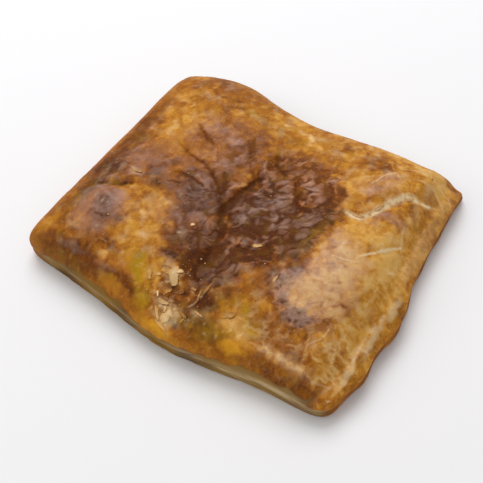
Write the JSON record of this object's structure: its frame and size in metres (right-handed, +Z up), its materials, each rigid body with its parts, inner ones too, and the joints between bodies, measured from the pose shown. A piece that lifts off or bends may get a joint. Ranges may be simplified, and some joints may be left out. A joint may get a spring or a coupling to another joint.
{
  "type": "cheese and onion slice",
  "caption": "Baked flat parcel of golden puff pastry with a swollen, glazed, wrinkled crust and one edge pressed shut, lying on its flat base.",
  "frame": {"origin": "on the surface that the slice rests on, under the middle of its box", "axes": "+Z up, +X along the long side towards the edge pressed shut, +Y across from the front cut side to the back cut side"},
  "size_m": [0.1444, 0.1236, 0.0276],
  "materials": {
    "baked_crust": "egg-glazed baked puff pastry, golden with dark amber patches"
  },
  "bodies": {
    "root": {"slice": "baked_crust"}
  },
  "joints": []
}
